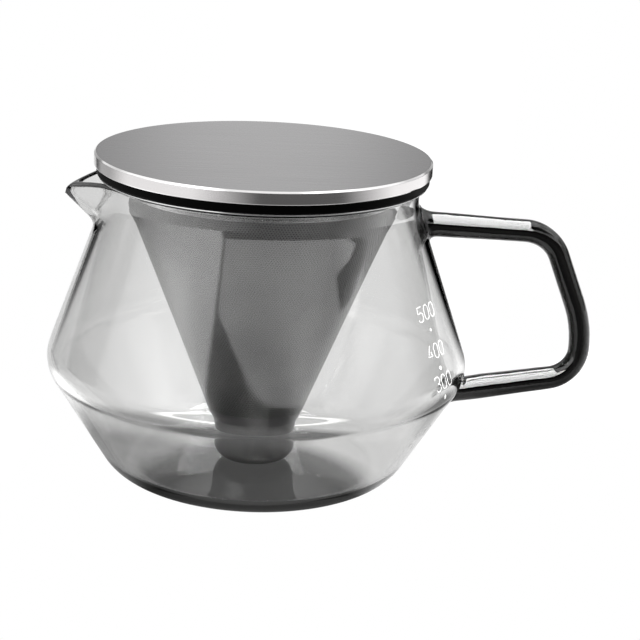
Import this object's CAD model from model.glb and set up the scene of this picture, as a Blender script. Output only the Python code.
# %% [markdown]
# # A smoked glass teapot, piece by piece
# The teapot is a blown glass jug with a rod handle, a cone filter of etched steel that hangs in
# its neck, and a flat steel lid that stands on a black seal ring. The solid model in the frame
# holds the true sizes. Here every piece is modelled again with smooth surfaces and given its
# finish.

# %% Load the solid model
import math

import bpy
from mathutils import Matrix, Vector


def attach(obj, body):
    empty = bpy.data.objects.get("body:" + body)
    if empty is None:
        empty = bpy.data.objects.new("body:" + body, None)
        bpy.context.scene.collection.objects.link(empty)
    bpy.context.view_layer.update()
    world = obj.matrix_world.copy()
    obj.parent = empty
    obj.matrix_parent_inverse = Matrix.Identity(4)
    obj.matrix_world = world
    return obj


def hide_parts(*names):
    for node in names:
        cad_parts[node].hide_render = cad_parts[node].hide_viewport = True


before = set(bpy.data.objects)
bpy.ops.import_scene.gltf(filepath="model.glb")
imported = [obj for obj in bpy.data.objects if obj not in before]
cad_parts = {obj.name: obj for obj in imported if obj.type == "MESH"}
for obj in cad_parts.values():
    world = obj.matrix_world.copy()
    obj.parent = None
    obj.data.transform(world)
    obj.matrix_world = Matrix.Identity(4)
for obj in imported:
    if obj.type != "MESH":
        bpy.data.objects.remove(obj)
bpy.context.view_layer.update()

mm = 0.001

# %% [markdown]
# ## The camera
# A pot is best shown from a little above with a long lens, so that the ellipses stay calm. The
# camera looks down at the middle of the pot, then is turned a little aside and rolled by two
# degrees, as a camera on a tripod often is. Its axes are worked out one turn at a time. Its focal
# length and first two turns are given in pixels of a frame 640 pixels wide.

# %% Set up the camera
camera_distance = 547.8 * mm
camera_height_angle = 0.2923732
frame_px, focal_px = 640, 1841.496
aside_px, above_px = -61.6456, -7.8157
camera_pan = math.atan(aside_px / focal_px)
camera_tilt = math.atan(above_px / focal_px)
camera_roll = 0.0362371
look_at = Vector((0, 0, 49 * mm))

forward = Vector((0, math.cos(camera_height_angle), -math.sin(camera_height_angle)))
across = Vector((1, 0, 0))
upward = across.cross(forward)
across, forward = (across * math.cos(camera_pan) + forward * math.sin(camera_pan),
                   forward * math.cos(camera_pan) - across * math.sin(camera_pan))
upward, forward = (upward * math.cos(camera_tilt) - forward * math.sin(camera_tilt),
                   forward * math.cos(camera_tilt) + upward * math.sin(camera_tilt))
across, upward = (across * math.cos(camera_roll) + upward * math.sin(camera_roll),
                  upward * math.cos(camera_roll) - across * math.sin(camera_roll))

lens = bpy.data.cameras.new("camera")
lens.sensor_width = 36
lens.lens = focal_px * lens.sensor_width / frame_px
lens.clip_start = 0.01
camera = bpy.data.objects.new("camera", lens)
bpy.context.collection.objects.link(camera)
stand = look_at + camera_distance * Vector(
    (0, -math.cos(camera_height_angle), math.sin(camera_height_angle)))
camera.matrix_world = Matrix.Translation(stand) @ Matrix(
    (across, upward, -forward)).transposed().to_4x4()
bpy.context.scene.camera = camera
print("camera stands at, mm:", [round(v / mm) for v in stand])

# %% [markdown]
# ## Helpers for turned pieces
# Nearly everything here is round, so one way of working serves for most of it: draw half of the
# piece's section as a line, then spin that line round the upright axis. A lathe works the same
# way. Rounded corners are worked out as true arcs, because a bevel would make flat corners too
# full.

# %% Draw outlines and spin them
def take_up(piece):
    """Leaves one piece selected and active."""
    if bpy.context.object and bpy.context.object.mode != "OBJECT":
        bpy.ops.object.mode_set(mode="OBJECT")
    bpy.ops.object.select_all(action="DESELECT")
    piece.select_set(True)
    bpy.context.view_layer.objects.active = piece


def corner_arc(a, v, b, radius, steps):
    """Points of the arc that rounds the corner v between a and b."""
    a, v, b = Vector(a), Vector(v), Vector(b)
    to_a, to_b = (a - v).normalized(), (b - v).normalized()
    half = to_a.angle(to_b) / 2
    centre = v + (to_a + to_b).normalized() * radius / math.sin(half)
    first = v + to_a * radius / math.tan(half) - centre
    last = v + to_b * radius / math.tan(half) - centre
    turn = math.atan2(first.x * last.y - first.y * last.x, first.dot(last))
    start = math.atan2(first.y, first.x)
    return [centre + radius * Vector((math.cos(start + turn * i / steps),
                                      math.sin(start + turn * i / steps)))
            for i in range(steps + 1)]


def rounded(corners, radii, steps=12, closed=False):
    """The path through the corners, each rounded by its radius, where 0 leaves it sharp."""
    count = len(corners)
    path = []
    for i, (corner, radius) in enumerate(zip(corners, radii)):
        if radius == 0 or (not closed and i in (0, count - 1)):
            path.append(Vector(corner))
        else:
            path += corner_arc(corners[i - 1], corner, corners[(i + 1) % count], radius, steps)
    return path


def new_curve(name, bevel=0.0, fine=0):
    """An empty curve. A bevel, in millimetres, gives its lines the thickness of a round rod."""
    curve = bpy.data.curves.new(name, "CURVE")
    curve.dimensions = "3D"
    curve.bevel_depth, curve.bevel_resolution = bevel * mm, fine
    curve.use_fill_caps = bevel > 0
    return curve


def add_line(curve, points, closed=False):
    """Draws straight lines through the points, in millimetres, and returns the curve's knots."""
    line = curve.splines.new("POLY")
    line.points.add(len(points) - 1)
    line.use_cyclic_u = closed
    for knot, (x, y, z) in zip(line.points, points):
        knot.co = (x * mm, y * mm, z * mm, 1)
    return line.points


def as_mesh(name, curve):
    """The piece that the curve becomes as a mesh, selected and active."""
    piece = bpy.data.objects.new(name, curve)
    bpy.context.collection.objects.link(piece)
    take_up(piece)
    bpy.ops.object.convert(target="MESH")
    return bpy.context.object


def draw_outline(name, points, closed=False):
    """A chain of edges through the points (radius, height), in the XZ plane."""
    curve = new_curve(name)
    add_line(curve, [(r, 0, z) for r, z in points], closed)
    return as_mesh(name, curve)


def close_up(piece):
    """Merges what meets and turns all faces outwards."""
    take_up(piece)
    bpy.ops.object.mode_set(mode="EDIT")
    bpy.ops.mesh.select_all(action="SELECT")
    bpy.ops.mesh.remove_doubles(threshold=0.001 * mm)
    bpy.ops.mesh.normals_make_consistent(inside=False)
    bpy.ops.object.mode_set(mode="OBJECT")


def turned(name, points, closed=True, steps=160, crease=35):
    """The piece that the outline makes when it is spun once round the Z axis."""
    piece = draw_outline(name, points, closed)
    bpy.ops.object.mode_set(mode="EDIT")
    bpy.ops.mesh.select_all(action="SELECT")
    bpy.ops.mesh.spin(steps=steps, angle=math.tau, center=(0, 0, 0), axis=(0, 0, 1))
    close_up(piece)
    bpy.ops.object.shade_smooth_by_angle(angle=math.radians(crease))
    print(name, "has", len(piece.data.polygons), "faces")
    return piece


print("helpers for turned pieces are ready")

# %% [markdown]
# ## The glass jug
# A jug like this is blown into a mould, cut at the neck, and its rim is melted round in a flame.
# The wall is about 2.3 mm thick and the floor a little more. Glass looks right only as a closed
# wall with an outer and an inner surface, because light bends at both. So the outline runs from
# the middle of the underside up the outside, over the rim and down the inside to the middle of
# the floor.

# %% Draw the jug's wall
wall, floor_t = 2.3, 3.2
base_corner, belly_corner = (42.3, 0), (63.25, 34.25)
neck_corner, rim_z = (45.6, 83.5), 89.3
base_round, belly_round, neck_round = 13, 9.8, 9
arc_steps, rim_steps, longest_step = 18, 12, 1.6
wall_slope = (belly_corner[0] - neck_corner[0]) / (neck_corner[1] - belly_corner[1])
lower_slope = (belly_corner[0] - base_corner[0]) / belly_corner[1]


def inset_corner(a, v, b, distance):
    """The corner v between a and b, moved to the left of the path."""
    a, v, b = Vector(a), Vector(v), Vector(b)
    u, w = (v - a).normalized(), (b - v).normalized()
    left_u, left_w = Vector((-u.y, u.x)), Vector((-w.y, w.x))
    return v + (left_u + left_w) * distance / (1 + left_u.dot(left_w))


rim_corner = (neck_corner[0], rim_z - wall / 2)
inner_belly = inset_corner(base_corner, belly_corner, neck_corner, wall)
inner_neck = inset_corner(belly_corner, neck_corner, rim_corner, wall)
inner_base = (inner_belly.x - (inner_belly.y - floor_t) * lower_slope, floor_t)
outer_path = rounded([(0, 0), base_corner, belly_corner, neck_corner, rim_corner],
                     [0, base_round, belly_round, neck_round, 0], steps=arc_steps)
inner_path = rounded([(0, floor_t), inner_base, inner_belly, inner_neck,
                      (rim_corner[0] - wall, rim_corner[1])],
                     [0, base_round - wall, belly_round - wall, neck_round + wall, 0],
                     steps=arc_steps)
rim_arc = [Vector((rim_corner[0] - wall / 2 + wall / 2 * math.cos(math.pi * i / rim_steps),
                   rim_corner[1] + wall / 2 * math.sin(math.pi * i / rim_steps)))
           for i in range(1, rim_steps)]


def with_steps(path, longest):
    """The path with extra points, so that no part of it is longer than the longest step."""
    out = [path[0]]
    for a, b in zip(path, path[1:]):
        parts = max(1, math.ceil((b - a).length / longest))
        out += [a.lerp(b, i / parts) for i in range(1, parts + 1)]
    return out


outer_path = with_steps(outer_path, longest_step)
inner_path = with_steps(inner_path, longest_step)
jug_outline = outer_path + rim_arc + inner_path[::-1]
print("the jug's outline has", len(jug_outline), "points")

# %% [markdown]
# The outline is spun in two sweeps: fine steps for the seventy degrees that will carry the spout,
# wider ones for the rest. The faces of the melted rim are noted while it is still level, because
# they get a finish of their own later.

# %% Spin the jug in two sweeps
spout_sector, spout_steps, rest_steps = math.radians(70), 96, 150
rim_band = 0.8
glass_jug = draw_outline("glass_jug_blown", jug_outline)
bpy.ops.transform.rotate(value=math.pi - spout_sector / 2, orient_axis="Z",
                         center_override=(0, 0, 0))
bpy.ops.object.transform_apply(location=True, rotation=True, scale=True)
bpy.ops.object.mode_set(mode="EDIT")
bpy.ops.mesh.select_all(action="SELECT")
bpy.ops.mesh.spin(steps=spout_steps, angle=spout_sector, center=(0, 0, 0), axis=(0, 0, 1))
bpy.ops.mesh.spin(steps=rest_steps, angle=math.tau - spout_sector, center=(0, 0, 0),
                  axis=(0, 0, 1))
close_up(glass_jug)
bpy.ops.object.shade_smooth()
rim_faces = [face.index for face in glass_jug.data.polygons
             if face.center.z / mm > rim_z - rim_band]
print("jug:", len(glass_jug.data.polygons), "faces, of which", len(rim_faces), "on the rim")

# %% [markdown]
# ## The spout
# The glassmaker warms one side of the neck and pulls it outwards with a tool. The glass follows
# as part of a cone: its point is the nose, and its lowest line is the keel. The rim dips towards
# the nose. Sculpting that by hand with proportional editing would miss the measured line, so each
# point near the spout is moved out to the cone by a small rule, with a soft fillet where cone
# meets wall. First come the two shapes that meet: the blown wall, and the cone.

# %% Measure the wall and the spout's cone
nose_x, nose_z = 57.9, 82.9
spout_open, spout_rise = math.radians(48.8), math.radians(7)


def radius_at(path, z):
    """Radius of a surface of the wall at the height z, with its rounded corners."""
    for a, b in zip(path, path[1:]):
        if a.y <= z <= b.y and b.y > a.y:
            return a.x + (b.x - a.x) * (z - a.y) / (b.y - a.y)
    return path[-1].x


def cone_reach(angle, z, inset):
    """How far from the jug's axis the spout's cone reaches at this height and direction."""
    back = inset / math.sin(spout_open)
    tip_x = nose_x - back * math.cos(spout_rise)
    h = z - nose_z - back * math.sin(spout_rise)
    open2 = math.cos(spout_open) ** 2
    a = math.cos(spout_rise) * tip_x + math.sin(spout_rise) * h
    b = -math.cos(spout_rise) * math.cos(angle)
    if a <= 0 or a * a < open2 * (tip_x ** 2 + h * h):
        return 0
    p = b * b - open2
    q = 2 * a * b + 2 * open2 * tip_x * math.cos(angle)
    r = a * a - open2 * (tip_x ** 2 + h * h)
    root = math.sqrt(max(q * q - 4 * p * r, 0))
    exits = [t for t in ((-q - root) / (2 * p), (-q + root) / (2 * p)) if t > 0 and a + b * t >= 0]
    return min(exits, default=0)


print("cone reaches", round(cone_reach(0, rim_z, 0), 1), "mm at the rim, the wall",
      round(radius_at(outer_path, rim_z), 1), "mm")

# %% [markdown]
# Wherever the cone lies outside the wall, the glass follows the cone. A soft maximum of the two
# gives the fillet, for the outer and for the inner surface, so the wall keeps its thickness. The
# rim's height is a soft minimum of the level rim and a lip that falls towards the nose.

# %% Pull the spout out of the neck
spout_fillet = 2.4
lip_z, lip_fall, lip_blend = 85.0, 0.31, 2.4
still_z, bend_z, bend_h = 60, 68, 18


def soft_max(a, b, width):
    """The larger of two values, rounded over where they are nearly the same."""
    blend = max(width - abs(a - b), 0) / width
    return max(a, b) + blend * blend * width / 4


def rim_height(x):
    """Height of the rim at the distance x towards the nose: it dips towards the nose."""
    return -soft_max(-(lip_z + lip_fall * (nose_x - x)), -rim_z, lip_blend)


def pulled(co):
    """Where the pull takes the point co of the blown jug."""
    u, v, z = -co.x / mm, co.y / mm, co.z / mm
    angle, r = math.atan2(v, u), math.hypot(u, v)
    if z < still_z or abs(angle) > spout_sector / 2:
        return co
    outer, inner = radius_at(outer_path, z), radius_at(inner_path, z)
    depth = min(max((outer - r) / (outer - inner), 0), 1)
    lift = min(max((z - bend_z) / bend_h, 0), 1)
    lift = lift * lift * (3 - 2 * lift)
    new_r = r
    for _ in range(4):
        new_z = z + lift * (rim_height(new_r * math.cos(angle)) - rim_z)
        out_r = soft_max(radius_at(outer_path, new_z), cone_reach(angle, new_z, 0), spout_fillet)
        in_r = soft_max(radius_at(inner_path, new_z), cone_reach(angle, new_z, wall), spout_fillet)
        new_r = out_r + (in_r - out_r) * depth
    return Vector((-new_r * math.cos(angle), new_r * math.sin(angle), new_z)) * mm


for vertex in glass_jug.data.vertices:
    vertex.co = pulled(vertex.co)
glass_jug.data.update()
neck_points = [v.co.x for v in glass_jug.data.vertices if v.co.z / mm > bend_z + bend_h / 2]
print("nose reaches", round(-min(neck_points) / mm, 2), "mm, lowest rim at",
      round(rim_height(nose_x), 2), "mm")

# %% [markdown]
# ## The rod handle
# The handle is a solid glass rod, bent hot and welded to the wall at both ends. In Blender a
# curve with a round bevel gives such a rod, and its radius may change from point to point: it is
# thinnest in the upright, where bending drew it out, and it flares at the welds.

# %% Bend the rod
upper_weld_z, lower_weld_z, handle_reach = 77.4, 26, 96.4
rod_step, weld_step, weld_points = 1.5, 0.3, 6
upper_end = Vector((radius_at(outer_path, upper_weld_z), upper_weld_z))
lower_end = Vector((radius_at(outer_path, lower_weld_z), lower_weld_z))
handle_path = with_steps(
    rounded([upper_end, (85.3, 76.1), (handle_reach, 48.4), (handle_reach, 32.5), lower_end],
            [0, 12, 36, 10, 0], steps=24), rod_step)
handle_length = sum((b - a).length for a, b in zip(handle_path, handle_path[1:]))
print("the rod is", round(handle_length), "mm long")


def rod_radius(s):
    """Radius of the rod at the distance s along it."""
    stops = [(0, 3.7), (30, 3.35), (42, 3.1), (75, 3.15), (92, 3.5), (handle_length, 3.85)]
    for (s0, r0), (s1, r1) in zip(stops, stops[1:]):
        if s <= s1:
            t = (s - s0) / (s1 - s0)
            return r0 + (r1 - r0) * t * t * (3 - 2 * t)
    return stops[-1][1]


def flare(s, size, length):
    """Extra radius of a weld at the distance s from the wall."""
    t = min(max(s / length, 0), 1)
    return size * (1 - math.sqrt(1 - (1 - t) ** 2))


fine_path = (with_steps(handle_path[:weld_points], weld_step)
             + handle_path[weld_points:-weld_points]
             + with_steps(handle_path[-weld_points:], weld_step))
rod = new_curve("handle_rod", bevel=1.0, fine=14)
knots = add_line(rod, [(p.x, 0, p.y) for p in fine_path])
travelled = 0
for i, (knot, p) in enumerate(zip(knots, fine_path)):
    if i:
        travelled += (p - fine_path[i - 1]).length
    knot.radius = (rod_radius(travelled) + flare(travelled, 1.9, 3.4)
                   + flare(handle_length - travelled, 1.7, 3.2))
handle = as_mesh("handle_rod", rod)
print("handle:", len(handle.data.polygons), "faces")

# %% [markdown]
# The rod's ends are flat discs, but the wall they stand on slopes and is round. The last few
# millimetres at each end are slid along the rod until the end lies on the wall.

# %% Fit the rod's ends to the wall
weld_depth, fit_reach = 0.05, 9


def fitted(co):
    """Where the point co of the straight-cut rod lies once its ends fit the wall."""
    x, y, z = co.x / mm, co.y / mm, co.z / mm
    for end in (upper_end, lower_end):
        if abs(z - end.y) < fit_reach and x < end.x + fit_reach:
            fade = min(max(1 - (x - end.x) / fit_reach, 0), 1)
            on_wall = math.sqrt(max(radius_at(outer_path, z) ** 2 - y * y, 0)) - weld_depth
            return Vector((x + (on_wall - end.x) * fade, y, z)) * mm
    return co


for vertex in handle.data.vertices:
    vertex.co = fitted(vertex.co)
close_up(handle)
bpy.ops.object.shade_smooth()
print("handle reaches", round(max(v.co.x for v in handle.data.vertices) / mm, 2), "mm")

# %% [markdown]
# ## The filter
# The filter is three pieces of steel welded together: a pressed rim whose flange lies on the
# glass, a cone rolled from etched sheet, and a plain cup that closes its point. All three are
# thin, so each outline goes once round the sheet's thickness before it is spun. The rim comes
# first: its band is a little narrower than the neck's bore, so that the filter lifts out without
# scraping.

# %% Turn the filter's rim
sheet, mesh_t = 0.5, 0.4
rest_gap, bore_gap = 0.12, 1.1
flange_z, flange_r = rim_z + rest_gap, 47.8
flange_top = flange_z + sheet
band_r, band_h = neck_corner[0] - wall - bore_gap, 3.4
cone_end_r, seam_z = 14.4, 19
cone_slope = (band_r - cone_end_r) / (flange_z - seam_z)
mesh_top_z = flange_z - band_h


def cone_r(z):
    return cone_end_r + (z - seam_z) * cone_slope


filter_rim = turned("filter_rim_pressed", rounded(
    [(cone_r(mesh_top_z), mesh_top_z), (band_r, flange_z), (flange_r, flange_z),
     (flange_r, flange_top), (band_r - sheet, flange_top),
     (cone_r(mesh_top_z) - sheet, mesh_top_z)],
    [0, 0.1, 0.24, 0.24, 0.5, 0], steps=6, closed=True))

# %% [markdown]
# The cone is one even sheet, so its outline is two straight lines. The cup is drawn over a round
# punch: its foot and its shoulder are rounded, and its mouth meets the cone's small end edge to
# edge.

# %% Turn the filter's cone and cup
filter_mesh = turned("filter_mesh_cone", with_steps(
    [Vector((cone_r(seam_z), seam_z)), Vector((cone_r(mesh_top_z), mesh_top_z))], 8)
    + with_steps([Vector((cone_r(mesh_top_z) - mesh_t, mesh_top_z)),
                  Vector((cone_r(seam_z) - mesh_t, seam_z))], 8))
cup_foot, cup_r, cup_mouth_h, cup_taper, cup_round = 4.2, 12.6, 5, 0.8, 4.2
foot, shoulder = (cup_r - cup_taper, cup_foot), (cup_r, seam_z - cup_mouth_h)
mouth = (cone_end_r, seam_z)
filter_cup = turned("filter_cup_pressed", rounded(
    [(0, cup_foot), foot, shoulder, mouth, (cone_end_r - sheet, seam_z),
     inset_corner(foot, shoulder, mouth, sheet),
     inset_corner((0, cup_foot), foot, shoulder, sheet), (0, cup_foot + sheet)],
    [0, cup_round, cup_round, 0, 0, cup_round + sheet, cup_round - sheet, 0], steps=8),
    closed=False)

# %% [markdown]
# A sheet's pattern is made while the sheet is flat. For the pattern to bend with the cone, each
# corner of each face is given its place on the flat sheet as a UV: the distance from the cone's
# point, and the angle round it, which shrinks when the cone is laid flat.

# %% Lay the cone flat for its UV map
flat_unit = 200 * mm
cone_half_angle = math.atan(cone_slope)
cone_point_z = (seam_z - cone_end_r / cone_slope) * mm
uv = filter_mesh.data.uv_layers.new(name="flat_sheet")
for face in filter_mesh.data.polygons:
    middle = math.atan2(-face.center.x, face.center.y)
    for loop in face.loop_indices:
        co = filter_mesh.data.vertices[filter_mesh.data.loops[loop].vertex_index].co
        round_angle = middle + math.remainder(math.atan2(-co.x, co.y) - middle, math.tau)
        rho = math.hypot(co.x, co.y, co.z - cone_point_z)
        psi = round_angle * math.sin(cone_half_angle)
        uv.data[loop].uv = (0.5 + rho * math.sin(psi) / flat_unit, rho * math.cos(psi) / flat_unit)
print("flat sheet spans, mm:", round(2 * rho / mm))

# %% [markdown]
# The sheet's two edges overlap along one plain strip, where they are spot welded. The strip is a
# narrow plate on the cone's outside, at the back of the pot. It starts as a plane, is cut finer
# so that it can follow the cone, and gets its thickness from a Solidify modifier.

# %% Add the strip of the lap joint
lap_w, lap_t, lap_gap = 4.0, 0.3, 0.02
corners = [(side * lap_w / 2, z) for z in (seam_z, mesh_top_z) for side in (-1, 1)]
bpy.ops.object.select_all(action="DESELECT")
bpy.ops.mesh.primitive_plane_add(size=1)
lap_strip = bpy.context.object
lap_strip.name = "filter_mesh_lap"
for vertex, (x, z) in zip(lap_strip.data.vertices, corners):
    vertex.co = (x * mm, 0, z * mm)
take_up(lap_strip)
bpy.ops.object.mode_set(mode="EDIT")
bpy.ops.mesh.select_all(action="SELECT")
bpy.ops.mesh.subdivide(number_cuts=6)
bpy.ops.object.mode_set(mode="OBJECT")
for vertex in lap_strip.data.vertices:
    r = cone_r(vertex.co.z / mm) + lap_gap
    vertex.co.y = math.sqrt(r * r - (vertex.co.x / mm) ** 2) * mm
thick = lap_strip.modifiers.new("sheet", "SOLIDIFY")
thick.thickness = lap_t * mm
thick.offset = 1
bpy.ops.object.modifier_apply(modifier="sheet")
close_up(lap_strip)
print("lap strip:", len(lap_strip.data.polygons), "faces")

# %% [markdown]
# ## The lid
# The lid is a cap of brushed steel with a thin polished bevel, a pan below it, and a black rubber
# ring that seals against the filter's flange. The cap's side is only four millimetres high, so
# its small roundings matter: they are what catches the light. A spare point on each side of an
# edge keeps the flat faces flat in the smooth shading.

# %% Turn the lid's cap
lid_r, lid_side_h, cap_t = 49, 3.85, 0.8
seal_h, seal_inset = 2.55, 0.7
seal_z = flange_top + rest_gap
lid_edge_z = seal_z + seal_h
lid_top = lid_edge_z + lid_side_h
bevel, side_edge, top_edge = 0.5, 0.6, 1.2
cap_outline = [(0, lid_top - cap_t), (lid_r - cap_t, lid_top - cap_t),
               (lid_r - cap_t, lid_edge_z), (lid_r, lid_edge_z), (lid_r, lid_edge_z + side_edge),
               (lid_r, lid_top - bevel), (lid_r - bevel, lid_top), (lid_r - top_edge, lid_top),
               (0, lid_top)]
lid_cap = turned("lid_cap_brushed",
                 rounded(cap_outline, [0, 0, 0, 0.45, 0, 0.16, 0.12, 0, 0], steps=6),
                 closed=False, steps=240)
print("lid top at", round(lid_top, 2), "mm")

# %% [markdown]
# The pan and the ring are hidden while the lid is on, but they show when it is lifted. The pan is
# pressed down into the filter's band, and the ring is cast round it: a wide part that lies on the
# flange, and a sleeve that centres the lid in the filter.

# %% Turn the lid's pan and seal ring
seal_r = lid_r - seal_inset
sleeve_depth, sleeve_gap, sleeve_t = 3, 0.4, 1.6
sleeve_r = band_r - sheet - sleeve_gap - sleeve_depth * cone_slope
pan_r = sleeve_r - sleeve_t
pan_top, pan_foot, pan_round = lid_edge_z, flange_top - sleeve_depth, 1.2
lid_base = turned("lid_base_pan", rounded(
    [(0, pan_foot), (pan_r, pan_foot), (pan_r, pan_top), (lid_r - cap_t, pan_top),
     (lid_r - cap_t, pan_top + sheet), (pan_r - sheet, pan_top + sheet),
     (pan_r - sheet, pan_foot + sheet), (0, pan_foot + sheet)],
    [0, pan_round + 0.5, 0.4, 0, 0, 0.8, pan_round, 0], steps=6), closed=False)
sleeve_foot = pan_foot + pan_round
lid_seal = turned("lid_seal_ring", rounded(
    [(pan_r, sleeve_foot), (sleeve_r, sleeve_foot), (sleeve_r, seal_z), (seal_r, seal_z),
     (seal_r, lid_edge_z), (pan_r, lid_edge_z)],
    [0, 0.5, 0.2, 0.6, 0.1, 0], steps=6, closed=True), steps=220)

# %% [markdown]
# ## The printed scale
# White numerals are printed on the outside of the glass with enamel and fired on. Each one is
# drawn flat and then bent round the wall: its width turns into an angle and its height follows
# the slope.

# %% Lay a drawing on the glass
scale_angle = math.radians(60)
print_lift = 0.03


def outer_point(along, up_slope, z0, lift):
    """A place on the glass: along is the way round, up_slope the way up the slope from z0."""
    slope = -wall_slope if z0 > belly_corner[1] else lower_slope
    z = z0 + up_slope / math.hypot(1, slope)
    r = radius_at(outer_path, z) + lift
    angle = scale_angle + along / r
    return Vector((r * math.sin(angle), -r * math.cos(angle), z)) * mm


def print_on_glass(piece, z0):
    """Bends a flat drawing round the wall, with its middle at the height z0."""
    for vertex in piece.data.vertices:
        x, y, h = (c / mm for c in vertex.co)
        vertex.co = outer_point(x, y, z0, print_lift + h)
    close_up(piece)
    return piece


print("the scale lies", round(radius_at(outer_path, 50), 1), "mm from the axis at half height")

# %% [markdown]
# A text object would need a font with just these narrow, round shapes. Strokes are simpler: each
# is a curve with a round bevel, like the line of a pen. Its corners are given in a box one unit
# wide and one high, each with its radius.

# %% Draw the digits
digit_w, digit_h, digit_step, pen = 2.5, 4.2, 3.55, 0.13
round_r, flatness = 1.3, 0.1
strokes = {
    "0": [([(0, 0), (1, 0), (1, 1), (0, 1)], [1, 1, 1, 1])],
    "2": [([(0, 0.78), (0, 1), (1, 1), (1, 0.5), (0.02, 0), (1, 0)], [0, 0.9, 1, 0.5, 0, 0])],
    "3": [([(0, 0.82), (0, 1), (1, 1), (1, 0.52), (0.4, 0.52)], [0, 0.5, 0.9, 0.8, 0]),
          ([(0.4, 0.52), (1, 0.52), (1, 0), (0, 0), (0, 0.18)], [0, 0.8, 0.9, 0.5, 0])],
    "4": [([(0.7, 1), (0, 0.28), (1, 0.28)], [0, 0, 0]), ([(0.74, 0.58), (0.74, 0)], [0, 0])],
    "5": [([(0.95, 1), (0.08, 1), (0, 0.56), (1, 0.66), (1, 0), (0, 0), (0, 0.18)],
           [0, 0, 0, 0.9, 0.9, 0.5, 0])],
}


def numeral(text, z0):
    """The digits drawn with a round pen, flattened, and printed on the glass."""
    ink = new_curve("ink", bevel=pen, fine=2)
    for place, digit in enumerate(text):
        left = (place - (len(text) - 1) / 2) * digit_step - digit_w / 2
        for corners, radii in strokes[digit]:
            corners = [(left + x * digit_w, (y - 0.5) * digit_h) for x, y in corners]
            loop = digit == "0"
            path = rounded(corners, [r * round_r for r in radii], steps=6, closed=loop)
            add_line(ink, [(x, y, 0) for x, y in path], loop)
    piece = as_mesh("numeral_" + text, ink)
    for vertex in piece.data.vertices:
        vertex.co.z *= flatness
    return print_on_glass(piece, z0)


print("digits that can be drawn:", ", ".join(strokes))

# %% [markdown]
# Between the numbers stand dots, which start as thin cylinders. Each mark is a piece of its own.

# %% Print the scale
dot_t = 0.04


def dot(name, z0, wide, high):
    """A flat oval dot, printed on the glass."""
    bpy.ops.object.select_all(action="DESELECT")
    bpy.ops.mesh.primitive_cylinder_add(vertices=20, radius=0.5, depth=1)
    piece = bpy.context.object
    piece.name = name
    piece.scale = (wide * mm, high * mm, dot_t * mm)
    bpy.ops.object.transform_apply(location=True, rotation=True, scale=True)
    return print_on_glass(piece, z0)


printing = [numeral("500", 58.4), dot("dot_450", 53.5, 0.9, 0.9), numeral("400", 47.7),
            dot("dot_350", 42.9, 1.1, 1.1), numeral("300", 39.1), dot("dot_250", 34.6, 1.1, 1.5),
            numeral("200", 21.9), dot("dot_150", 17.2, 1.1, 1.4)]
print("printed:", ", ".join(p.name for p in printing))

# %% [markdown]
# ## Finishes
# Every finish is a node tree on one Principled shader. Small helpers add nodes and join them, so
# that each finish below reads as a short recipe. Patterns use Object coordinates in metres, so
# their scale is the true one on each piece.

# %% Helpers for finishes
def new_finish(name):
    """A new material, with its node tree and its Principled shader."""
    finish = bpy.data.materials.new(name)
    finish.use_nodes = True
    tree = finish.node_tree
    return finish, tree, tree.nodes["Principled BSDF"]


def add(tree, kind, settings=None, **inputs):
    """Adds a node. Inputs are values or sockets, by name, or by place as __0, __1 and so on."""
    new = tree.nodes.new("ShaderNode" + kind)
    for key, value in (settings or {}).items():
        setattr(new, key, value)
    for key, value in inputs.items():
        name, _, place = key.partition("__")
        socket = new.inputs[int(place)] if place else new.inputs[name.replace("_", " ")]
        if isinstance(value, bpy.types.NodeSocket):
            tree.links.new(value, socket)
        else:
            socket.default_value = value
    return new


def join(tree, out, socket):
    tree.links.new(out, socket)


def object_place(tree, scale=(1, 1, 1)):
    """Object coordinates in metres, stretched by scale."""
    place = add(tree, "TexCoord").outputs["Object"]
    return add(tree, "Mapping", Vector=place, Scale=scale).outputs["Vector"]


def span(tree, value, low, high, to_low, to_high):
    """Carries the value from one range to another."""
    return add(tree, "MapRange", Value=value, From_Min=low, From_Max=high,
               To_Min=to_low, To_Max=to_high).outputs["Result"]


def calc(operation, *values):
    """One Math node, in the tree that its first socket belongs to."""
    sockets = [value for value in values if isinstance(value, bpy.types.NodeSocket)]
    return add(sockets[0].id_data, "Math", {"operation": operation},
               **{f"__{i}": value for i, value in enumerate(values)}).outputs[0]


def noise(tree, scale, detail, stretch=(1, 1, 1)):
    """Cloudy noise from 0 to 1, with so many clouds in a metre."""
    return add(tree, "TexNoise", Vector=object_place(tree, stretch), Scale=scale,
               Detail=detail).outputs["Fac"]


def mix(tree, share, one, other):
    """One value or colour where the share is 0, and the other where it is 1."""
    return add(tree, "MixRGB", Fac=share, Color1=one, Color2=other).outputs["Color"]


def raise_by(tree, shader, height, strength, depth):
    """Bumps the surface by the height, whose full range is so many millimetres deep."""
    bump = add(tree, "Bump", Height=height, Strength=strength, Distance=depth * mm)
    join(tree, bump.outputs["Normal"], shader.inputs["Normal"])


print("helpers for finishes are ready")

# %% [markdown]
# ### Smoked glass
# Grey glass is clear glass with a little metal oxide in the melt, so it darkens light over the
# whole way through, and thick places are darker. A volume that absorbs does just that. Blown
# glass is never quite even: a very weak, wide bump makes the reflections swim a little. The rod
# is drawn from a much darker glass. The melted rim looks darker than the wall, so its glass gets
# a grey skin as well.

# %% Mix the smoked glass
smoke = (0.40, 0.40, 0.39, 1)


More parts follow.
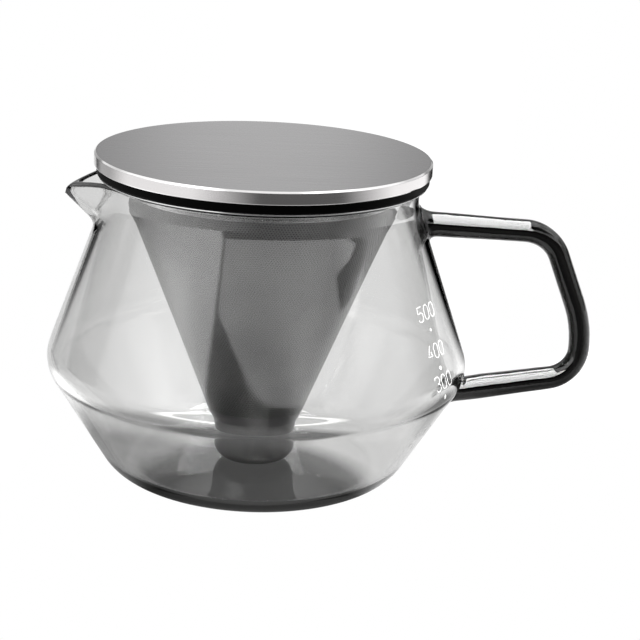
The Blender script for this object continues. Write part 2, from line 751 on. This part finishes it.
def glass_finish(name, absorption, wave, wave_scale, skin=(1, 1, 1, 1)):
    finish, tree, shader = new_finish(name)
    shader.inputs["Base Color"].default_value = skin
    shader.inputs["Transmission Weight"].default_value = 1
    shader.inputs["IOR"].default_value = 1.5
    raise_by(tree, shader, noise(tree, wave_scale, 1.0), 1.0, wave)
    smear = noise(tree, 90.0, 4.0)
    join(tree, span(tree, smear, 0.45, 0.75, 0.0, 0.035), shader.inputs["Roughness"])
    inside = add(tree, "VolumeAbsorption", Color=smoke, Density=absorption)
    join(tree, inside.outputs["Volume"], tree.nodes["Material Output"].inputs["Volume"])
    return finish


smoked_glass = glass_finish("smoked_glass_blown", 130, 0.06, 45)
dark_glass = glass_finish("dark_glass_rod", 1500, 0.04, 60)
rim_glass = glass_finish("smoked_glass_rim", 130, 0.06, 45, skin=(0.12, 0.12, 0.12, 1))
print("glass finishes:", smoked_glass.name, dark_glass.name, rim_glass.name)

# %% [markdown]
# ### Etched mesh
# The cone's holes are etched in rows, about half a millimetre wide. Modelling so many holes would
# be slow, so they are drawn in the finish: two grids of dots, one shifted by half a step, make
# rows in which every hole sits between its neighbours. Where a dot falls, the sheet is only half
# clear: with clear holes, the front and the back of the cone would make a false pattern of
# stripes together.

# %% Etch the mesh
mesh_finish, tree, shader = new_finish("etched_mesh_steel")
pitch = 0.86 * mm
hole_floor, hole_edge, hole_cover = 0.20, 0.34, 0.45
flat = add(tree, "UVMap", {"uv_map": "flat_sheet"}).outputs["UV"]
cell = add(tree, "VectorMath", {"operation": "MULTIPLY"}, __0=flat,
           __1=(flat_unit / pitch, flat_unit / pitch / math.sqrt(3), 0)).outputs["Vector"]


def dots(shift):
    """Distance from the middle of the nearest dot of one grid, in steps of the grid."""
    moved = add(tree, "VectorMath", {"operation": "ADD"}, __0=cell,
                __1=(shift, shift, 0)).outputs["Vector"]
    part = add(tree, "VectorMath", {"operation": "FRACTION"}, __0=moved).outputs["Vector"]
    centred = add(tree, "VectorMath", {"operation": "MULTIPLY_ADD"}, __0=part,
                  __1=(1, math.sqrt(3), 0), __2=(-0.5, -math.sqrt(3) / 2, 0)).outputs["Vector"]
    return add(tree, "VectorMath", {"operation": "LENGTH"}, __0=centred).outputs["Value"]


nearest = calc("MINIMUM", dots(0.0), dots(0.5))
solid = span(tree, nearest, hole_floor, hole_edge, 0.0, 1.0)
cover = span(tree, nearest, hole_floor, hole_edge, hole_cover, 1.0)
cloud = noise(tree, 60.0, 3.0)
tone = mix(tree, span(tree, cloud, 0.3, 0.7, 0.0, 1.0), (0.22, 0.22, 0.22, 1),
           (0.30, 0.30, 0.298, 1))
join(tree, tone, shader.inputs["Base Color"])
shader.inputs["Metallic"].default_value = 1
join(tree, span(tree, cloud, 0.3, 0.7, 0.30, 0.40), shader.inputs["Roughness"])
join(tree, cover, shader.inputs["Alpha"])
raise_by(tree, shader, solid, 0.4, 0.1)
cone_side = math.hypot(mesh_top_z - seam_z, cone_r(mesh_top_z) - cone_end_r)
cone_area = math.pi * (cone_r(mesh_top_z) + cone_end_r) * cone_side
print("about", round(2 * cone_area / (math.sqrt(3) * (pitch / mm) ** 2)), "holes")

# %% [markdown]
# ### Steel
# The lid is brushed: its top straight across, its side along the edge. Brushing is fine
# scratches, so a noise that is stretched a hundredfold along the brushing gives both the bump and
# the roughness, and makes the grooves a little darker. The filter's plain parts are smoother.
# Each finish has two stretches of the noise: for level faces and for upright ones.

# %% Brush and polish the steel
groove_shade = 0.86


def steel_finish(name, colour, rough, streaks, depth):
    finish, tree, shader = new_finish(name)
    top, side = (noise(tree, 1.0, 4.0, stretch) for stretch in streaks)
    facing = add(tree, "SeparateXYZ", Vector=add(tree, "NewGeometry").outputs["Normal"])
    is_top = span(tree, calc("ABSOLUTE", facing.outputs["Z"]), 0.5, 0.8, 0.0, 1.0)
    lines = mix(tree, is_top, side, top)
    dark = tuple(c * groove_shade for c in colour[:3]) + (1,)
    join(tree, mix(tree, lines, dark, colour), shader.inputs["Base Color"])
    shader.inputs["Metallic"].default_value = 1
    join(tree, span(tree, lines, 0.3, 0.7, rough[0], rough[1]), shader.inputs["Roughness"])
    raise_by(tree, shader, lines, 0.5, depth)
    return finish


lid_steel = steel_finish("lid_steel_brushed", (0.232, 0.226, 0.230, 1), (0.25, 0.30),
                         ((30, 3000, 30), (25, 25, 6000)), 0.0012)
side_steel = steel_finish("lid_steel_side", (0.60, 0.585, 0.585, 1), (0.14, 0.20),
                          ((25, 25, 6000), (25, 25, 6000)), 0.0015)
edge_steel = steel_finish("lid_steel_polished", (0.76, 0.75, 0.75, 1), (0.07, 0.10),
                          ((60, 60, 60), (60, 60, 60)), 0.001)
filter_steel = steel_finish("filter_steel_plain", (0.56, 0.56, 0.56, 1), (0.16, 0.24),
                            ((200, 200, 200), (40, 40, 2500)), 0.003)
cup_steel = steel_finish("filter_cup_steel", (0.27, 0.27, 0.27, 1), (0.28, 0.36),
                         ((200, 200, 200), (260, 260, 12)), 0.0012)
pan_steel = steel_finish("lid_pan_steel", (0.58, 0.58, 0.58, 1), (0.2, 0.3),
                         ((60, 60, 60), (40, 40, 2500)), 0.003)
print("steels:", lid_steel.name, side_steel.name, edge_steel.name, cup_steel.name)

# %% [markdown]
# ### Rubber and enamel
# Silicone rubber is matt black with a slight skin. The enamel of the printing is a thin white
# layer with a faint unevenness from the screen it was pressed through.

# %% Make the rubber and the enamel
def plain_finish(name, low, high, rough, scale, depth, gloss):
    finish, tree, shader = new_finish(name)
    grain = noise(tree, scale, 5.0)
    join(tree, mix(tree, grain, low, high), shader.inputs["Base Color"])
    join(tree, span(tree, grain, 0.3, 0.7, rough[0], rough[1]), shader.inputs["Roughness"])
    raise_by(tree, shader, grain, 0.4, depth)
    shader.inputs["Specular IOR Level"].default_value = gloss
    return finish


black_silicone = plain_finish("black_silicone_skin", (0.0005, 0.0005, 0.0005, 1),
                              (0.0015, 0.0015, 0.0015, 1), (0.40, 0.5), 900, 0.02, 0.02)
white_enamel = plain_finish("white_enamel_print", (0.82, 0.82, 0.81, 1), (0.95, 0.95, 0.94, 1),
                            (0.35, 0.5), 1500, 0.01, 0.5)
print("finishes:", black_silicone.name, white_enamel.name)

# %% [markdown]
# ## Put the pieces together
# Each piece says which moving body it rides on, which solid of the frame it stands for, and from
# which material slot its finish comes.

# %% Dress the frame
dressing = [
    (glass_jug, smoked_glass, "pot", "glass_jug", "smoked_glass"),
    (handle, dark_glass, "pot", "handle", "dark_glass"),
    (filter_rim, filter_steel, "filter", "filter_rim", "filter_steel"),
    (filter_mesh, mesh_finish, "filter", "filter_mesh", "etched_mesh"),
    (lap_strip, cup_steel, "filter", None, "filter_steel"),
    (filter_cup, cup_steel, "filter", "filter_cup", "filter_steel"),
    (lid_cap, lid_steel, "lid", "lid_cap", "lid_steel"),
    (lid_base, pan_steel, "lid", "lid_base", "filter_steel"),
    (lid_seal, black_silicone, "lid", "lid_seal", "black_silicone"),
] + [(piece, white_enamel, "pot", None, None) for piece in printing]
for piece, finish, body, stands_for, slot in dressing:
    piece.data.materials.clear()
    piece.data.materials.append(finish)
    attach(piece, body)
    if stands_for:
        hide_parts(stands_for)
print(len(dressing), "pieces dressed")

# %% [markdown]
# A piece can carry more than one finish: each face holds the place of its own in the mesh's list
# of materials. The faces of the jug's rim, noted when it was spun, get the darker glass.

# %% Darken the melted rim
glass_jug.data.materials.append(rim_glass)
for index in rim_faces:
    glass_jug.data.polygons[index].material_index = 1
print("rim faces:", len(rim_faces))

# %% [markdown]
# The lid's bevel and the small rounding along its lower edge are polished after the brushing, so
# those two narrow bands of faces get a brighter finish. The side between them is brushed along
# the edge, so it gets a third.

# %% Polish the lid's edges
bevel_foot, lower_round, side_slack = 0.12, 0.48, 0.1
lid_cap.data.materials.append(edge_steel)
lid_cap.data.materials.append(side_steel)
for face in lid_cap.data.polygons:
    r, z = math.hypot(face.center.x, face.center.y) / mm, face.center.z / mm
    on_bevel = z > lid_top - bevel - bevel_foot and r > lid_r - bevel - side_slack
    on_lower_edge = z < lid_edge_z + lower_round and r > lid_r - lower_round
    if on_bevel or on_lower_edge:
        face.material_index = 1
    elif z < lid_top - bevel and r > lid_r - side_slack:
        face.material_index = 2
print("polished faces:", sum(face.material_index == 1 for face in lid_cap.data.polygons))

# %% [markdown]
# ## The studio
# Glass shows what is round it. A wide white floor and a bright background make it look light, and
# dark areas draw its edges. The floor is one large disc of paper that glows evenly white where
# the camera sees it. Glass and steel see it with cards and shadows on it, as in a studio. These
# are drawn in the floor's own coordinates, so they stay in place from every side. First come the
# disc and a few helpers for sums of nodes.

# %% Lay the floor
bpy.ops.object.select_all(action="DESELECT")
bpy.ops.mesh.primitive_circle_add(vertices=96, radius=3.0, fill_type="NGON")
floor = bpy.context.object
floor.name = "studio_floor"
paper, tree, shader = new_finish("white_paper")
place = add(tree, "SeparateXYZ", Vector=object_place(tree)).outputs


def product(*values):
    """All the values multiplied."""
    value = values[0]
    for other in values[1:]:
        value = calc("MULTIPLY", value, other)
    return value


def length(across, along):
    """Length of the line that goes so far across and so far along."""
    return calc("SQRT", calc("ADD", product(across, across), product(along, along)))


def from_oval(x, y, wide, deep):
    """Distance from the middle of an oval on the floor, in millimetres: 1 is on its edge."""
    return length(calc("DIVIDE", calc("SUBTRACT", place["X"], x * mm), wide * mm),
                  calc("DIVIDE", calc("SUBTRACT", place["Y"], y * mm), deep * mm))


def card(x, y, wide, deep, soft, tone):
    """An oval card on the floor: tone inside it, 1 outside it, with a soft edge."""
    edge = span(tree, from_oval(x, y, wide, deep), 1 - soft, 1 + soft, 0.0, 1.0)
    return span(tree, edge, 0, 1, tone, 1.0)


print("floor:", floor.name)

# %% [markdown]
# Directions on the floor are angles round the pot, in radians, from the front to the right. The
# bright backdrop behind the pot fans out from a point half a metre in front of it. The floor in
# front and at the sides is lit too, but beside the backdrop it is dark, which draws the edges of
# the glass. A black card covers the floor in front and to the right, beyond the handle's foot.

# %% Mark the bright and the dark floor
fan_foot = 0.5246
backdrop_glow, black_share = 1.1, 0.90
round_pot = calc("ARCTAN2", place["X"], calc("MULTIPLY", place["Y"], -1.0))
turned_by = calc("ABSOLUTE", round_pot)
from_pot = length(place["X"], place["Y"])
fan = calc("DIVIDE", place["X"], calc("ADD", place["Y"], fan_foot))
backdrop = product(span(tree, fan, 0.135, 0.165, 1.0, 0.0),
                   span(tree, fan, -0.27, -0.24, 0.0, 1.0),
                   span(tree, place["Y"], -0.02, 0.02, 0.0, 1.0))
sides = product(span(tree, turned_by, 2.36, 2.53, 1.0, 0.0),
                span(tree, round_pot, -2.05, -1.72, 0.45, 1.0),
                span(tree, from_pot, 0.10, 0.20, 1.0, 1.6))
open_floor = calc("MAXIMUM", product(backdrop, backdrop_glow), sides)
black_card = product(span(tree, round_pot, -0.80, -0.05, 0.0, 1.0),
                     span(tree, round_pot, 0.90, 1.62, 1.0, 0.0),
                     span(tree, from_pot, 0.105, 0.125, 0.0, 1.0))
lit_share = calc("SUBTRACT", 1.0, product(black_card, black_share))
print("floor has", len(tree.nodes), "nodes so far")

# %% [markdown]
# Small cards close to the pot tune its edges: a bright one at the left, a dark one at the right,
# and two dark ones under it as its shadow. The pot's thick floor gathers light into a crescent
# behind the filter's foot, which is drawn as a thin bright oval and added last.

# %% Add the cards, the shadow and the crescent
crescent_glow = 1.2
left_card = card(-106, 12, 30, 50, 0.35, 2.2)
right_card = card(100, 2, 30, 42, 0.35, 0.3)
shadow = product(card(0, -24, 36, 40, 0.12, 0.12), card(-40, -8, 26, 32, 0.25, 0.45))
lean = span(tree, place["X"], -0.10, 0.10, 0.88, 1.0)
paper_grain = span(tree, noise(tree, 400.0, 3.0), 0.3, 0.7, 0.97, 1.0)
from_crescent = from_oval(-1.5, 27, 27, 8)
crescent = product(span(tree, from_crescent, 0.92, 0.98, 0.0, 1.0),
                   span(tree, from_crescent, 1.04, 1.25, 1.0, 0.0))
shade = product(open_floor, lit_share, shadow, left_card, right_card, lean, paper_grain)
shade = calc("ADD", shade, product(crescent, crescent_glow))
seen = add(tree, "LightPath").outputs["Is Camera Ray"]
glow = add(tree, "Emission", Strength=calc("MAXIMUM", shade, seen))
join(tree, glow.outputs[0], tree.nodes["Material Output"].inputs["Surface"])
floor.data.materials.append(paper)
print("floor has", len(tree.nodes), "nodes")

# %% [markdown]
# The rest of the studio is the world: dim air with lit windows in it. A window lies between two
# angles, with soft edges, and two windows multiplied make a rectangle of light. The angles are
# taken round the pot from the front, up from the floor, and over the pot from front to back.

# %% Measure the angles of the world
world = bpy.data.worlds.new("studio_air")
bpy.context.scene.world = world
world.use_nodes = True
sky = world.node_tree
parts = add(sky, "SeparateXYZ", Vector=add(sky, "TexCoord").outputs["Generated"]).outputs
front_y = calc("MULTIPLY", parts["Y"], -1.0)
round_angle = calc("ARCTAN2", parts["X"], front_y)
either_side = calc("ABSOLUTE", round_angle)
height = calc("ARCSINE", parts["Z"])
over_angle = calc("ARCTAN2", parts["Z"], front_y)
sideways = calc("ABSOLUTE", calc("ARCSINE", parts["X"]))


def tilted(slope):
    """The height above a line that falls to the right by this slope."""
    return calc("ADD", height, calc("MULTIPLY", round_angle, slope))


def window(value, low, high, soft):
    """1 where the angle lies between low and high degrees, with soft edges, and 0 elsewhere."""
    low, high, soft = (math.radians(v) for v in (low, high, soft))
    rise = add(sky, "MapRange", {"interpolation_type": "SMOOTHSTEP"}, Value=value,
               From_Min=low - soft, From_Max=low + soft).outputs["Result"]
    fall = add(sky, "MapRange", {"interpolation_type": "SMOOTHSTEP"}, Value=value,
               From_Min=high + soft, From_Max=high - soft).outputs["Result"]
    return product(rise, fall)


print("world:", world.name)

# %% [markdown]
# The lid's side and the handle mirror what stands low in front, so that is where the long panel
# and the tall windows are. One thin dark bar crosses them at the right. The light behind the pot
# passes through the glass, and the light overhead makes the brushed steel grey instead of black.

# %% Light the windows
air_glow = 0.05
no_bar = calc("SUBTRACT", 1.0, product(window(tilted(0.122), 25.2, 26.1, 0.06),
                                       window(round_angle, 53, 90, 0.4)))
left_fade = add(sky, "MapRange", Value=round_angle, From_Min=math.radians(-95),
                From_Max=math.radians(-50), To_Min=0.25, To_Max=1.0).outputs["Result"]
front_panel = product(1.5, no_bar, window(round_angle, -26, 78, 0.4),
                      window(tilted(0.055), 20.15, 34, 0.2))
left_window = product(2.8, left_fade, window(round_angle, -95, -28, 2),
                      window(height, -10, 55, 3))
right_window = product(0.8, no_bar, window(round_angle, 60, 100, 8), window(height, -10, 50, 6))
back_floor = product(0.7, window(either_side, 145, 200, 14), window(height, -95, 0, 4))
back_wall = product(0.50, window(either_side, 145, 200, 14), window(height, 0, 60, 4))
back_strip = product(0.6, window(either_side, 176, 200, 2), window(height, 5, 30, 6))
ceiling = product(1.2, window(height, 58, 100, 6))
top_wings = product(1.4, window(over_angle, 70, 132, 5), window(sideways, 18, 62, 4))
rear_wings = product(0.9, window(over_angle, 132, 160, 3), window(sideways, 30, 70, 4))
air = air_glow
for patch in (front_panel, back_floor, back_wall, left_window, right_window, back_strip, ceiling,
              top_wings, rear_wings):
    air = calc("ADD", patch, air)
looked_at = add(sky, "LightPath").outputs["Is Camera Ray"]
join(sky, calc("MAXIMUM", air, looked_at), sky.nodes["Background"].inputs["Strength"])
sky.nodes["Background"].inputs["Color"].default_value = (1, 1, 1, 1)
bpy.context.scene.view_settings.view_transform = "Standard"
print("the world has", len(sky.nodes), "nodes")

# %% [markdown]
# The longest highlights, on the rod and on the glass, come from two softboxes, so bright that
# they would burn out the lid's top. In a real studio a card would shade the lid. Blender has
# light linking: a lamp's receiver collection names the only pieces that it shines on.

# %% Hang the softboxes
softbox_away = 1.5


def softbox(name, low, high, left, right, glow, mirrored_by):
    """A rectangular lamp, seen from the pot between these angles, that only some pieces mirror."""
    low, high, left, right = (math.radians(v) for v in (low, high, left, right))
    middle = (low + high) / 2
    wide = softbox_away * (math.tan(right) - math.tan(left))
    tall = 2 * softbox_away * math.tan((high - low) / 2)
    aside = softbox_away * (math.tan(right) + math.tan(left)) / 2
    aim = Vector((0, -math.cos(middle), math.sin(middle)))
    bpy.ops.object.select_all(action="DESELECT")
    bpy.ops.object.light_add(type="AREA", rotation=aim.to_track_quat("Z", "Y").to_euler(),
                             location=aim * softbox_away + Vector((aside, 0, 0)))
    lamp = bpy.context.object
    lamp.name = name
    lamp.data.shape, lamp.data.size, lamp.data.size_y = "RECTANGLE", wide, tall
    lamp.data.energy = glow * math.pi * wide * tall
    lamp.visible_camera = False
    only = bpy.data.collections.new(name + "_pieces")
    for piece in mirrored_by:
        only.objects.link(piece)
    lamp.light_linking.receiver_collection = only
    print(name, "is", round(wide, 2), "by", round(tall, 2), "m")


softbox("long_softbox", 42, 118, -14, 20, 18, [handle, glass_jug] + printing)
softbox("rod_softbox", 20, 42, -18, 20, 12, [handle])
